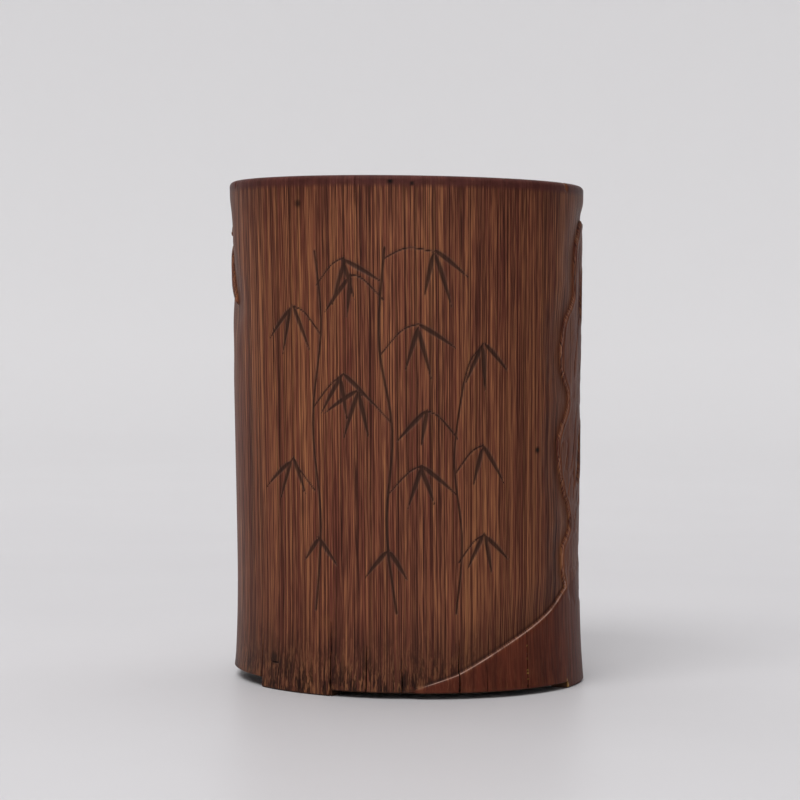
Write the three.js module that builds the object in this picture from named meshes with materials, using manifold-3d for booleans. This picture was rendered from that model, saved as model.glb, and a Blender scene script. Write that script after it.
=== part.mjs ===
// A bamboo brush pot: one joint of a thick bamboo culm, standing on three low feet left in its own wall.
// The skin has been pared off, and a bank, a pierced rock and bamboo sprays stand in low relief round the
// right side and the back, with the ground cut away round them. A hardwood disc, let into a rebate from
// below, makes the floor, and a fillet of lacquer seals its joint on each side.
//
// Millimetres, +Z up. The front, which is left plain for brushwork or cut lines, faces -Y.
// The origin lies under the middle of the pot, on the surface that it stands on.
import * as THREE from "three";
import { mergeVertices } from "three/addons/utils/BufferGeometryUtils.js";
import Module from "manifold-3d";

// The culm: a slight waist, a flare to the rim, and a lean that came with the stem. Its centre line stands
// over the origin at the pivot's height. The wall is measured at the rim and at the waist.
const HEIGHT = 152;
const RIM_RADIUS = 54.9;
const WAIST_RADIUS = 53.3;
const FOOT_RADIUS = 54.4;
const WAIST_HEIGHT = 32;
const FLARE_POWER = 1.3;
const LEAN = THREE.MathUtils.degToRad(1.1);
const LEAN_PIVOT_HEIGHT = HEIGHT / 2;
const WALL_AT_RIM = 7.9;
const WALL_AT_WAIST = 7.0;
const OUTER_LIP_ROUND = 1.5;
const INNER_LIP_ROUND = 2.2;
const BOTTOM_CHAMFER = 0.5;

// The feet, as angles from the front, positive to the right, and the arches cut between them.
const FOOT_CENTRES = [-40, 77, 199];
const FOOT_SPAN = 30;
const ARCH_HEIGHTS = [1.8, 2.3, 2.9];

// The floor disc and the lacquer fillets that seal it.
const DISC_THICKNESS = 6;
const DISC_UNDERSIDE = 4.7;
const DISC_EDGE_ROUND = 0.6;
const REBATE_DEPTH = 2.2;
const SEAT_CLEARANCE = 0.3;
const UPPER_FILLET_LEG = 2.2;
const LOWER_FILLET_LEG = 1.4;

// The relief: how far the ground is cut down at a motif's edge, and how far out it fades to the surface.
const GROUND_DEPTH = 1.0;
const GROUND_FADE = 15;
const GROUND_TOP = 148;
const GROUND_TOP_FADE = 5;
const CUTTER_MARGIN = 0.3;
const MOTIF_REACH = 3;

// How finely round forms are divided.
const STEPS_ROUND = 66;
const STEPS_UP = 11;
const STEPS_LIP = 3;
const GROUND_ROWS = 22;

const TURN = 2 * Math.PI;
const wasm = await Module();
wasm.setup();

// Small helpers for numbers.
const lerp = THREE.MathUtils.lerp;
const smooth = (x, low, high) => THREE.MathUtils.smoothstep(x, low, high);
const radians = THREE.MathUtils.degToRad;

// The culm's outer radius at a height.
function outerRadius(z) {
  if (z < WAIST_HEIGHT) {
    const down = (WAIST_HEIGHT - z) / WAIST_HEIGHT;
    return lerp(WAIST_RADIUS, FOOT_RADIUS, down * down);
  }
  const up = (z - WAIST_HEIGHT) / (HEIGHT - WAIST_HEIGHT);
  return lerp(WAIST_RADIUS, RIM_RADIUS, Math.pow(up, FLARE_POWER));
}

// The bore's radius at a height.
function boreRadius(z) {
  return lerp(WAIST_RADIUS - WALL_AT_WAIST, RIM_RADIUS - WALL_AT_RIM, z / HEIGHT);
}

// How far the culm's centre line lies to the right at a height.
function centreLine(z) {
  return (LEAN_PIVOT_HEIGHT - z) * Math.tan(LEAN);
}

// A place on the culm: an angle from the front, a height, and a distance out from the outer surface.
function onCulm(angle, z, out) {
  const radius = outerRadius(z) + out;
  return [centreLine(z) + radius * Math.sin(angle), -radius * Math.cos(angle), z];
}

// A closed geometry as a solid that can be cut and joined.
function solidFrom(geometry) {
  const bare = new THREE.BufferGeometry();
  bare.setAttribute("position", geometry.getAttribute("position"));
  bare.setIndex(geometry.index);
  const merged = mergeVertices(bare, 1e-4);
  return new wasm.Manifold(
    new wasm.Mesh({
      numProp: 3,
      vertProperties: new Float32Array(merged.attributes.position.array),
      triVerts: new Uint32Array(merged.index.array),
    }),
  );
}

// A cut or joined solid as a geometry with flat faces.
function geometryFrom(solid) {
  const mesh = solid.getMesh();
  const geometry = new THREE.BufferGeometry();
  geometry.setAttribute("position", new THREE.BufferAttribute(new Float32Array(mesh.vertProperties), 3));
  geometry.setIndex(new THREE.BufferAttribute(new Uint32Array(mesh.triVerts), 1));
  const flat = geometry.toNonIndexed();
  flat.computeVertexNormals();
  return flat;
}

// A closed profile of [radius, height] pairs, turned about +Z.
function revolve(profile) {
  const points = [...profile, profile[0]].map(([radius, z]) => new THREE.Vector2(radius, z));
  const geometry = new THREE.LatheGeometry(points, STEPS_ROUND);
  geometry.rotateX(Math.PI / 2);
  return geometry;
}

// A quarter round in a profile, from one angle to another about a centre.
function quarterRound(centreRadius, centreZ, round, from, to) {
  return Array.from({ length: STEPS_LIP + 1 }, (_, i) => {
    const angle = radians(lerp(from, to, i / STEPS_LIP));
    return [centreRadius + round * Math.cos(angle), centreZ + round * Math.sin(angle)];
  });
}

// The culm's wall before carving: outside, rounded lip, bore, shoulder and rebate in one profile.
function culmBlank() {
  const shoulder = DISC_UNDERSIDE + DISC_THICKNESS + SEAT_CLEARANCE;
  const rebateRadius = boreRadius(shoulder) + REBATE_DEPTH;
  const outside = Array.from({ length: STEPS_UP + 1 }, (_, i) => {
    const z = lerp(BOTTOM_CHAMFER, HEIGHT - OUTER_LIP_ROUND, i / STEPS_UP);
    return [outerRadius(z), z];
  });
  const outerCentre = outerRadius(HEIGHT - OUTER_LIP_ROUND) - OUTER_LIP_ROUND;
  const innerCentre = boreRadius(HEIGHT - INNER_LIP_ROUND) + INNER_LIP_ROUND;
  const profile = [
    [rebateRadius, 0],
    [outerRadius(0) - BOTTOM_CHAMFER, 0],
    ...outside.slice(0, -1),
    ...quarterRound(outerCentre, HEIGHT - OUTER_LIP_ROUND, OUTER_LIP_ROUND, 0, 90),
    ...quarterRound(innerCentre, HEIGHT - INNER_LIP_ROUND, INNER_LIP_ROUND, 90, 180),
    [boreRadius(shoulder), shoulder],
    [rebateRadius, shoulder],
  ];
  const geometry = revolve(profile);
  const position = geometry.getAttribute("position");
  for (let i = 0; i < position.count; i++)
    position.setX(i, position.getX(i) + centreLine(position.getZ(i)));
  return solidFrom(geometry);
}

// The arches between the feet: a block shaped like part of a ring for each, with its own height.
function archCutters() {
  return FOOT_CENTRES.map((centre, i) => {
    const next = FOOT_CENTRES[(i + 1) % FOOT_CENTRES.length] + (i + 1 === FOOT_CENTRES.length ? 360 : 0);
    const start = radians(centre + FOOT_SPAN / 2 - 90);
    const end = radians(next - FOOT_SPAN / 2 - 90);
    const inside = boreRadius(0) - 5;
    const outside = FOOT_RADIUS + 5;
    const ring = new THREE.Shape();
    ring.absarc(0, 0, outside, start, end, false);
    ring.absarc(0, 0, inside, end, start, true);
    const block = new THREE.ExtrudeGeometry(ring, {
      depth: ARCH_HEIGHTS[i] + 1,
      bevelEnabled: false,
      curveSegments: 24,
    });
    block.translate(centreLine(0), 0, -1);
    return solidFrom(block);
  });
}

// Motifs are drawn on the unrolled surface: [degrees from the front, height]. A motif is the patch between
// two edges, each an open smooth line with the same number of samples.
function smoothLine(points, samples) {
  const curve = new THREE.SplineCurve(points.map(([x, y]) => new THREE.Vector2(x, y)));
  return curve.getPoints(samples).map((p) => [p.x, p.y]);
}

// Degrees round the culm that one millimetre takes, at the waist.
const DEGREES_PER_MM = 360 / (TURN * WAIST_RADIUS);

// The bank: a low mound along the foot of the pot, from the front round the right side to the back.
const BANK_LINE = [
  [1.5, 1.5], [15, 6.9], [33, 15.3], [52, 23.6], [66, 31], [88, 36], [112, 30],
  [136, 33], [160, 26], [186, 28], [210, 19], [234, 12], [252, 1.5],
];
function bank() {
  const top = smoothLine(BANK_LINE, 44);
  const bottom = top.map(([angle]) => [angle, -2]);
  return { edges: [bottom, top], across: 1 };
}

// The rock: a tall pierced stone with hollowed flanks.
const ROCK_LEFT = [
  [66, 24], [61, 40], [68, 50], [60, 63], [58.5, 76], [66, 86], [60, 98], [62, 110], [70, 118], [71, 132], [80, 141],
];
const ROCK_RIGHT = [
  [120, 22], [122, 36], [113, 46], [119, 60], [121, 72], [109, 80], [113, 92], [116, 104], [104, 112], [105, 126], [94, 140],
];
function rock() {
  return { edges: [smoothLine(ROCK_LEFT, 30), smoothLine(ROCK_RIGHT, 30)], across: 8 };
}

// The holes worn through the rock: [degrees, height, half width in degrees, half height, tilt].
const ROCK_HOLES = [
  [82, 118, 5, 8, 0.2],
  [99, 92, 7, 6, -0.5],
  [80, 70, 6, 9, 0.35],
  [102, 56, 5, 5.5, 0.3],
];
function rockHole([angle, z, halfWidth, halfHeight, tilt]) {
  const half = (side) =>
    Array.from({ length: 9 }, (_, i) => {
      const round = lerp(-1.45, 1.45, i / 8);
      const up = halfHeight * Math.sin(round);
      return [angle + side * halfWidth * Math.cos(round) + tilt * up, z + up];
    });
  return { edges: [half(-1), half(1)], across: 1 };
}

// The bamboo stems: [foot, top, width in mm]. Each bows a little between its ends.
const STEMS = [
  { foot: [146, 20], top: [155, 147], width: 6.4, bow: -3 },
  { foot: [178, 16], top: [170, 138], width: 4.6, bow: 3 },
  { foot: [206, 12], top: [214, 96], width: 3.4, bow: 2 },
];
function stem({ foot, top, width, bow }) {
  const half = (width / 2) * DEGREES_PER_MM;
  const edge = (side) =>
    Array.from({ length: 13 }, (_, i) => {
      const t = i / 12;
      const middle = lerp(foot[0], top[0], t) + bow * Math.sin(Math.PI * t);
      return [middle + side * half, lerp(foot[1], top[1], t)];
    });
  return { edges: [edge(-1), edge(1)], across: 1 };
}

// The leaves: [degrees and height of the stalk end, direction in degrees below level towards the right,
// length, width], hanging in sprays from the stems.
const LEAVES = [
  [160, 143, 25, 27, 6.0], [158, 140, 58, 30, 6.6], [151, 141, 118, 27, 6.0], [150, 144, 152, 25, 5.6],
  [196, 139, 12, 26, 5.6], [195, 136, 42, 29, 6.4], [190, 134, 82, 28, 6.4],
  [240, 145, 14, 30, 6.2], [238, 142, 44, 31, 6.8], [232, 139, 84, 29, 6.2],
  [262, 133, 38, 27, 6.4], [258, 129, 74, 26, 6.0],
  [216, 98, 30, 26, 6.0], [214, 95, 66, 27, 6.4], [211, 96, 122, 25, 5.8],
  [179, 84, 36, 24, 5.4], [177, 80, 70, 23, 5.4],
  [147, 74, 128, 22, 5.4], [146, 70, 98, 22, 5.2],
];
function leaf([angle, z, below, length, width]) {
  const direction = radians(below);
  const edge = (side) =>
    Array.from({ length: 9 }, (_, i) => {
      const t = i / 8;
      const half = 0.15 + (width / 2) * Math.pow(Math.sin(Math.PI * Math.pow(t, 0.7)), 0.85) * (1 - 0.25 * t);
      const droop = 0.06 * length * t * t;
      const along = t * length;
      const right = along * Math.cos(direction) + side * half * Math.sin(direction);
      const up = -along * Math.sin(direction) + side * half * Math.cos(direction) - droop;
      return [angle + right * DEGREES_PER_MM, z + up];
    });
  return { edges: [edge(-1), edge(1)], across: 1 };
}

// The twigs that carry the sprays out from the stems: smooth lines of [degrees, height].
const TWIGS = [
  [[154, 130], [172, 141], [196, 139]],
  [[172, 128], [205, 143], [240, 145]],
  [[236, 145], [250, 142], [262, 133]],
  [[171, 76], [175, 82], [180, 85]],
  [[152, 66], [149, 72], [147, 76]],
];
const TWIG_WIDTH = 1.6;
function twig(points) {
  const middle = smoothLine(points, 8);
  const edge = (side) => middle.map(([angle, z]) => [angle, z + (side * TWIG_WIDTH) / 2]);
  return { edges: [edge(-1), edge(1)], across: 1 };
}

// A motif as a solid that runs through the culm's surface.
function motifSolid({ edges, across }) {
  const [first, second] = edges;
  const along = first.length;
  const width = across + 1;
  const places = [];
  for (const out of [-MOTIF_REACH, MOTIF_REACH])
    for (let i = 0; i < along; i++)
      for (let j = 0; j < width; j++) {
        const t = j / across;
        const angle = lerp(first[i][0], second[i][0], t);
        const z = lerp(first[i][1], second[i][1], t);
        places.push(...onCulm(radians(angle), z, out));
      }
  const at = (side, i, j) => side * along * width + i * width + j;
  const index = [];
  const quad = (a, b, c, d) => index.push(a, b, c, a, c, d);
  for (let i = 0; i + 1 < along; i++) {
    for (let j = 0; j < across; j++) {
      quad(at(1, i, j), at(1, i, j + 1), at(1, i + 1, j + 1), at(1, i + 1, j));
      quad(at(0, i, j), at(0, i + 1, j), at(0, i + 1, j + 1), at(0, i, j + 1));
    }
    quad(at(0, i, 0), at(1, i, 0), at(1, i + 1, 0), at(0, i + 1, 0));
    quad(at(0, i, across), at(0, i + 1, across), at(1, i + 1, across), at(1, i, across));
  }
  for (let j = 0; j < across; j++) {
    quad(at(0, 0, j), at(0, 0, j + 1), at(1, 0, j + 1), at(1, 0, j));
    const end = along - 1;
    quad(at(0, end, j), at(1, end, j), at(1, end, j + 1), at(0, end, j + 1));
  }
  const geometry = new THREE.BufferGeometry();
  geometry.setAttribute("position", new THREE.BufferAttribute(new Float32Array(places), 3));
  geometry.setIndex(index);
  const solid = solidFrom(geometry);
  if (solid.volume() > 0) return solid;
  for (let i = 0; i < index.length; i += 3) [index[i + 1], index[i + 2]] = [index[i + 2], index[i + 1]];
  geometry.setIndex(index);
  return solidFrom(geometry);
}

// How far a place on the unrolled surface lies from a motif, in millimetres: 0 inside it.
function distanceTo({ edges }, angle, z) {
  const outline = [...edges[0], ...[...edges[1]].reverse()];
  let inside = false;
  let nearest = Infinity;
  outline.forEach(([a1, z1], i) => {
    const [a2, z2] = outline[(i + 1) % outline.length];
    const x1 = (a1 - angle) / DEGREES_PER_MM;
    const x2 = (a2 - angle) / DEGREES_PER_MM;
    const y1 = z1 - z;
    const y2 = z2 - z;
    if (y1 > 0 !== y2 > 0 && x1 + ((x2 - x1) * -y1) / (y2 - y1) > 0) inside = !inside;
    const length2 = (x2 - x1) ** 2 + (y2 - y1) ** 2;
    const share = length2 ? THREE.MathUtils.clamp(-(x1 * (x2 - x1) + y1 * (y2 - y1)) / length2, 0, 1) : 0;
    nearest = Math.min(nearest, Math.hypot(x1 + share * (x2 - x1), y1 + share * (y2 - y1)));
  });
  return inside ? 0 : nearest;
}

// The ground that is cut away, before the motifs are kept out of it: a ring round the culm whose inner
// face lies deepest beside the motifs and rises out of the surface away from them and under the rim.
function groundCutter(motifs) {
  const rows = GROUND_ROWS + 1;
  const bottom = -1;
  const places = [];
  const index = [];
  for (let i = 0; i < STEPS_ROUND; i++)
    for (let j = 0; j < rows; j++) {
      const degrees = (360 * i) / STEPS_ROUND;
      const z = lerp(bottom, GROUND_TOP + 1, j / GROUND_ROWS);
      const nearest = Math.min(...motifs.map((motif) => distanceTo(motif, degrees, z)));
      const share = (1 - smooth(nearest, 0, GROUND_FADE)) * (1 - smooth(z, GROUND_TOP - GROUND_TOP_FADE, GROUND_TOP));
      const depth = lerp(-CUTTER_MARGIN, GROUND_DEPTH, share);
      places.push(...onCulm(radians(degrees), z, -depth), ...onCulm(radians(degrees), z, MOTIF_REACH - 1));
    }
  const at = (i, j, side) => 2 * ((i % STEPS_ROUND) * rows + j) + side;
  const quad = (a, b, c, d) => index.push(a, b, c, a, c, d);
  for (let i = 0; i < STEPS_ROUND; i++) {
    for (let j = 0; j < GROUND_ROWS; j++) {
      quad(at(i, j, 1), at(i + 1, j, 1), at(i + 1, j + 1, 1), at(i, j + 1, 1));
      quad(at(i, j, 0), at(i, j + 1, 0), at(i + 1, j + 1, 0), at(i + 1, j, 0));
    }
    quad(at(i, 0, 0), at(i + 1, 0, 0), at(i + 1, 0, 1), at(i, 0, 1));
    quad(at(i, GROUND_ROWS, 0), at(i, GROUND_ROWS, 1), at(i + 1, GROUND_ROWS, 1), at(i + 1, GROUND_ROWS, 0));
  }
  const geometry = new THREE.BufferGeometry();
  geometry.setAttribute("position", new THREE.BufferAttribute(new Float32Array(places), 3));
  geometry.setIndex(index);
  return solidFrom(geometry);
}

// The carved culm: the blank, less the ground round the motifs, less the arches between the feet.
function culmWall() {
  const motifs = [bank(), rock(), ...STEMS.map(stem), ...LEAVES.map(leaf), ...TWIGS.map(twig)];
  const kept = motifs.map(motifSolid).reduce((all, one) => all.add(one));
  const pierced = ROCK_HOLES.map(rockHole).map(motifSolid).reduce((all, one) => all.subtract(one), kept);
  const ground = groundCutter(motifs).subtract(pierced);
  const carved = culmBlank().subtract(ground);
  return geometryFrom(archCutters().reduce((wall, arch) => wall.subtract(arch), carved));
}

// The floor: a turned disc with eased edges, a running clearance smaller than the rebate.
function floorDisc() {
  const shoulder = DISC_UNDERSIDE + DISC_THICKNESS + SEAT_CLEARANCE;
  const radius = boreRadius(shoulder) + REBATE_DEPTH - SEAT_CLEARANCE;
  const outline = [
    [0, 0],
    [radius - DISC_EDGE_ROUND, 0],
    [radius, DISC_EDGE_ROUND],
    [radius, DISC_THICKNESS - DISC_EDGE_ROUND],
    [radius - DISC_EDGE_ROUND, DISC_THICKNESS],
    [0, DISC_THICKNESS],
  ].map(([x, y]) => new THREE.Vector2(x, y));
  const geometry = new THREE.LatheGeometry(outline, STEPS_ROUND);
  geometry.rotateX(Math.PI / 2);
  return geometry;
}

// A fillet of lacquer in the corner between the disc and the wall. It has a hollow face, and side is 1 for
// the one on top of the disc and -1 for the one under it.
function lacquerFillet(cornerRadius, leg, side) {
  const hollow = Array.from({ length: 5 }, (_, i) => {
    const angle = radians(lerp(0, 90, i / 4));
    return [cornerRadius - leg + leg * Math.sin(angle), side * (leg - leg * Math.cos(angle))];
  });
  const profile = [[cornerRadius, 0], ...hollow];
  return revolve(side > 0 ? profile.reverse() : profile);
}

// Finishes, from the photographed wood.
const bamboo = new THREE.MeshStandardMaterial({ name: "bamboo", color: "#5a3426", roughness: 0.42, metalness: 0 });
const hardwood = new THREE.MeshStandardMaterial({ name: "hardwood", color: "#3a2018", roughness: 0.5, metalness: 0 });
const lacquer = new THREE.MeshStandardMaterial({ name: "lacquer", color: "#1c1210", roughness: 0.3, metalness: 0 });

// A named piece in its place.
function piece(name, geometry, material, position = [0, 0, 0]) {
  const mesh = new THREE.Mesh(geometry, material);
  mesh.name = name;
  mesh.position.set(...position);
  return mesh;
}

const discTop = DISC_UNDERSIDE + DISC_THICKNESS;
const upperSeat = discTop + SEAT_CLEARANCE;
const lowerSeat = DISC_UNDERSIDE - SEAT_CLEARANCE;
const upperCorner = boreRadius(upperSeat) - SEAT_CLEARANCE;
const lowerCorner = boreRadius(upperSeat) + REBATE_DEPTH - SEAT_CLEARANCE;

const pot = new THREE.Group();
pot.add(
  piece("culm_wall", culmWall(), bamboo),
  piece("floor_disc", floorDisc(), hardwood, [centreLine(DISC_UNDERSIDE + DISC_THICKNESS / 2), 0, DISC_UNDERSIDE]),
  piece("upper_lacquer_fillet", lacquerFillet(upperCorner, UPPER_FILLET_LEG, 1), lacquer, [
    centreLine(upperSeat), 0, upperSeat,
  ]),
  piece("lower_lacquer_fillet", lacquerFillet(lowerCorner, LOWER_FILLET_LEG, -1), lacquer, [
    centreLine(lowerSeat), 0, lowerSeat,
  ]),
);

export default pot;
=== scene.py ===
"""A carved bamboo brush pot on a pale studio floor: fine mesh, materials, lights and camera."""
import math

import bpy
import numpy as np
from mathutils import Matrix, Vector


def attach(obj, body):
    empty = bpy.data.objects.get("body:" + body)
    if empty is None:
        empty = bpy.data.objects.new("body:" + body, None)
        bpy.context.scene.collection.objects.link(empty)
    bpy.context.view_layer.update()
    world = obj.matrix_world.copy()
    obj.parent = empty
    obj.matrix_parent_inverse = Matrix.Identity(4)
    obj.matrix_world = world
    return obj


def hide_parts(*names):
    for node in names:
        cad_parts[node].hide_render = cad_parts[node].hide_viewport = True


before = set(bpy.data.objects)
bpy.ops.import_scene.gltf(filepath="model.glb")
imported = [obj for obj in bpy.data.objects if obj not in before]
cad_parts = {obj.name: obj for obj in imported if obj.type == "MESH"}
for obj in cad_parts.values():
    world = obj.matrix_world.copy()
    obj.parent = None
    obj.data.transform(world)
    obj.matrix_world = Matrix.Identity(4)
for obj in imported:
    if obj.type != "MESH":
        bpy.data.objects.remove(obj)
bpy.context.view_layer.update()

MM = 0.001

# The culm, in millimetres, with the same values as the CAD part.
HEIGHT = 152.0
RIM_RADIUS = 54.9
WAIST_RADIUS = 53.3
FOOT_RADIUS = 54.4
WAIST_HEIGHT = 32.0
FLARE_POWER = 1.3
LEAN = math.radians(1.1)
LEAN_PIVOT_HEIGHT = HEIGHT / 2
WALL_AT_RIM = 7.9
WALL_AT_WAIST = 7.0
OUTER_LIP_ROUND = 1.5
INNER_LIP_ROUND = 2.2
BOTTOM_CHAMFER = 0.5
FOOT_CENTRES = (-40, 77, 199)
FOOT_SPAN = 30
ARCH_HEIGHTS = (1.8, 2.3, 2.9)
SHOULDER = 11.0
REBATE_DEPTH = 2.2
GROUND_DEPTH = 1.0
GROUND_FADE = 15.0
GROUND_FADE_POWER = 1.3
GROUND_TOP = 148.0
GROUND_TOP_FADE = 5.0
DEGREES_PER_MM = 360 / (2 * math.pi * WAIST_RADIUS)

# The fine skin lies this far inside the CAD circle, so that it stays inside the faceted wall's box.
SKIN_ALLOWANCE = 0.12
# Below this height the wall's rows are squeezed upwards over the arches between the feet.
ARCH_ZONE = 7.0

# How fine the mesh is: [from, to, spacing in mm] round the pot in degrees, and up it in mm.
COLUMN_ZONES = [(-180, -95, 0.8), (-95, -45, 0.55), (-45, 30, 0.40), (30, 90, 0.36), (90, 180, 0.75)]
ROW_ZONES = [(0.5, 34, 0.38), (34, 134, 0.46), (134, 150.5, 0.6)]
# The extra columns beside a split, in mm from its middle, and beside a foot's end, in degrees from it.
# No other column comes nearer to one of them than COLUMN_ROOM, in degrees.
SPLIT_COLUMNS = (-0.5, -0.24, -0.1, 0.1, 0.24, 0.5, 0)
FOOT_COLUMN = 0.05
COLUMN_ROOM = 0.12
# The rows of the lips, of the flat land between them, and of the bore. The outer lip's first row lies
# LIP_START degrees round it, and the bore's first row lies BORE_START below the inner lip.
OUTER_LIP_ROWS = 7
LIP_START = 12
LAND_ROWS = 3
INNER_LIP_ROWS = 8
BORE_ROWS = 46
BORE_START = 1.5
BORE_RIPPLE = 0.25
# The rows of the rebate and of the sole, as heights, the number of them in the rebate, and its eased edge.
UNDER_HEIGHTS = (SHOULDER, 7.0, 3.0, 0.3, 0.0, 0.0, 0.0)
REBATE_ROWS = 4
REBATE_EASE = 0.2
# Edges that are sharper than this, in degrees, aren't smoothed. The UV map keeps this margin at its borders.
SHARP_ANGLE = 48
UV_MARGIN = 0.004

# Splits: [degrees, bottom, top, half width in mm at the bottom, depth].
SPLITS = [
    (-55, 0, 17, 0.15, 1.4), (-25.5, 0, 22, 0.20, 2.0), (-13.6, 0, 15.6, 0.18, 1.4), (-2.4, 0, 13, 0.10, 0.9),
    (15.8, 0, 17.4, 0.18, 1.6), (25, 0, 10, 0.08, 0.9), (40.6, 0, 19.2, 0.20, 2.0), (118, 0, 21, 0.14, 1.5),
    (232, 0, 26, 0.14, 1.5),
]
SPLIT_WANDER = 0.34
# The split under the rim: [degrees, where it starts, half width, depth].
RIM_SPLIT = (-16, 141.7, 0.12, 0.35)

# The fine relief, in millimetres: its depths, the width of an eased edge, and how rough the rock's outline is.
EDGE_EASE = 0.16
EDGE_EASE_WIDTH = 0.9
ROCK_ROUGHNESS = 1.1
ROCK_HOLLOW = 0.30
ROCK_CREASE = 0.30
ROCK_FACET = 0.22
BANK_HOLLOW = 0.18
RIB_DEPTH = 0.26
CUT_DEPTH = 0.50
CHIP_DEPTH = 0.5
WAVE_DEPTH = 0.10

# Soft round marks: [degrees, height, radius in mm, strength].
CHIPS = [(61.2, 150.4, 0.8, 1.0), (-71, 150.3, 0.6, 0.7), (32, 150.6, 0.5, 0.6)]
STAINS = [
    (45.6, 72.3, 0.9, 1.0), (-35.8, 143.9, 1.0, 0.8), (-5.1, 150.2, 0.8, 1.0), (1.5, 149.6, 0.6, 1.0),
    (-48.4, 9.4, 1.6, 0.6),
]
WORN_PLACES = [(-27, 21.5, 2.2, 0.35), (-25.5, 18.5, 1.6, 0.3), (61.2, 150.4, 0.9, 1.0)]
RAW_SPECKS = [
    (40.6, 3.9, 0.22, 1.0), (40.6, 6.3, 0.30, 1.0), (40.6, 7.3, 0.22, 1.0), (40.6, 10.6, 0.20, 1.0),
    (40.6, 14.6, 0.18, 1.0), (62.3, 0.9, 0.7, 0.8),
]

# The motifs of the relief, as [degrees, height], drawn as in the CAD part.
BANK_LINE = [
    (1.5, 1.5), (15, 6.9), (33, 15.3), (52, 23.6), (66, 31), (88, 36), (112, 30),
    (136, 33), (160, 26), (186, 28), (210, 19), (234, 12), (252, 1.5),
]
ROCK_LEFT = [
    (66, 24), (61, 40), (68, 50), (60, 63), (58.5, 76), (66, 86), (60, 98), (62, 110),
    (70, 118), (71, 132), (80, 141),
]
ROCK_RIGHT = [
    (120, 22), (122, 36), (113, 46), (119, 60), (121, 72), (109, 80), (113, 92), (116, 104),
    (104, 112), (105, 126), (94, 140),
]
# Holes worn through the rock: [degrees, height, half width in degrees, half height, tilt].
ROCK_HOLES = [(82, 118, 5, 8, 0.2), (99, 92, 7, 6, -0.5), (80, 70, 6, 9, 0.35), (102, 56, 5, 5.5, 0.3)]
# Stems: [foot, top, width, bow].
STEMS = [
    ((146, 20), (155, 147), 6.4, -3),
    ((178, 16), (170, 138), 4.6, 3),
    ((206, 12), (214, 96), 3.4, 2),
]
STEM_JOINTS = np.arange(0.16, 0.95, 0.21)
# Leaves: [degrees and height of the stalk end, direction in degrees below level, length, width].
LEAVES = [
    (160, 143, 25, 27, 6.0), (158, 140, 58, 30, 6.6), (151, 141, 118, 27, 6.0), (150, 144, 152, 25, 5.6),
    (196, 139, 12, 26, 5.6), (195, 136, 42, 29, 6.4), (190, 134, 82, 28, 6.4),
    (240, 145, 14, 30, 6.2), (238, 142, 44, 31, 6.8), (232, 139, 84, 29, 6.2),
    (262, 133, 38, 27, 6.4), (258, 129, 74, 26, 6.0),
    (216, 98, 30, 26, 6.0), (214, 95, 66, 27, 6.4), (211, 96, 122, 25, 5.8),
    (179, 84, 36, 24, 5.4), (177, 80, 70, 23, 5.4),
    (147, 74, 128, 22, 5.4), (146, 70, 98, 22, 5.2),
]
TWIGS = [
    [(154, 130), (172, 141), (196, 139)],
    [(172, 128), (205, 143), (240, 145)],
    [(236, 145), (250, 142), (262, 133)],
    [(171, 76), (175, 82), (180, 85)],
    [(152, 66), (149, 72), (147, 76)],
]
TWIG_WIDTH = 1.6

# The sprays incised on the front: stems and twigs as plain lines of [degrees, height], and leaves as single
# tapered cuts. A cluster is [where it hangs, each leaf's lean to the right in degrees, length].
FRONT_STEMS = [
    (0.5, [(-31, 25), (-29, 52), (-31.5, 80), (-28, 108), (-30, 130)]),
    (0.55, [(-4, 25), (-7, 50), (-5, 78), (-9, 104), (-7, 131)]),
    (0.42, [(15, 25), (17, 46), (14.5, 70), (17.5, 92)]),
]
FRONT_TWIG_HALF_WIDTH = 0.34
FRONT_TWIGS = [
    [(-31, 60), (-37, 66), (-40, 69)], [(-31.5, 84), (-25, 91), (-21, 94)],
    [(-28.5, 106), (-34, 112), (-39, 114)], [(-29.5, 120), (-24, 126), (-20, 128)],
    [(-6, 60), (0, 66), (4, 68)], [(-5, 80), (-12, 87), (-16, 89)],
    [(-8.5, 100), (-2, 107), (3, 109)], [(-7.5, 116), (-14, 122), (-18, 123)],
    [(16, 40), (21, 46), (25, 48)], [(15, 66), (20, 72), (24, 74)],
    [(15.5, 76), (10, 82), (6, 84)], [(17.5, 92), (20, 99), (24, 103)], [(-7, 128), (0, 131), (8, 130)],
]
FRONT_CLUSTERS = [
    ((-40, 69), (-58, -18, 22), 12), ((-21, 94), (-30, 12, 52), 12.5), ((-39, 114), (-52, -14, 26), 12),
    ((-20, 128), (-16, 24, 62), 12), ((4, 68), (-22, 20, 58), 12.5), ((-16, 89), (-60, -22, 16), 12.5),
    ((3, 109), (-20, 22, 60), 13), ((-18, 123), (-44, -8), 11), ((25, 48), (-28, 10, 48), 11),
    ((24, 74), (-14, 30), 12), ((6, 84), (-48, -10), 11), ((24, 103), (-30, 4, 44), 12),
    ((8, 130), (-18, 20, 56), 13), ((-30, 46), (-40, 36), 9), ((-6.5, 44), (-44, 38), 9),
]
# A nick low on the left: its points, and its half widths.
NICK = [(-50.2, 8.3), (-48.2, 8.0), (-46.3, 8.2)], [0.2, 0.5, 0.2]


def smoothstep(x, low, high):
    t = np.clip((x - low) / (high - low), 0, 1)
    return t * t * (3 - 2 * t)


def signed_angle(degrees):
    """The same angle between -180 and 180 degrees."""
    return (degrees + 180) % 360 - 180


def outer_radius(z):
    down = np.clip((WAIST_HEIGHT - z) / WAIST_HEIGHT, 0, None)
    up = np.clip((z - WAIST_HEIGHT) / (HEIGHT - WAIST_HEIGHT), 0, None)
    foot, flare = (FOOT_RADIUS - WAIST_RADIUS) * down**2, (RIM_RADIUS - WAIST_RADIUS) * up**FLARE_POWER
    return WAIST_RADIUS + foot + flare


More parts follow.
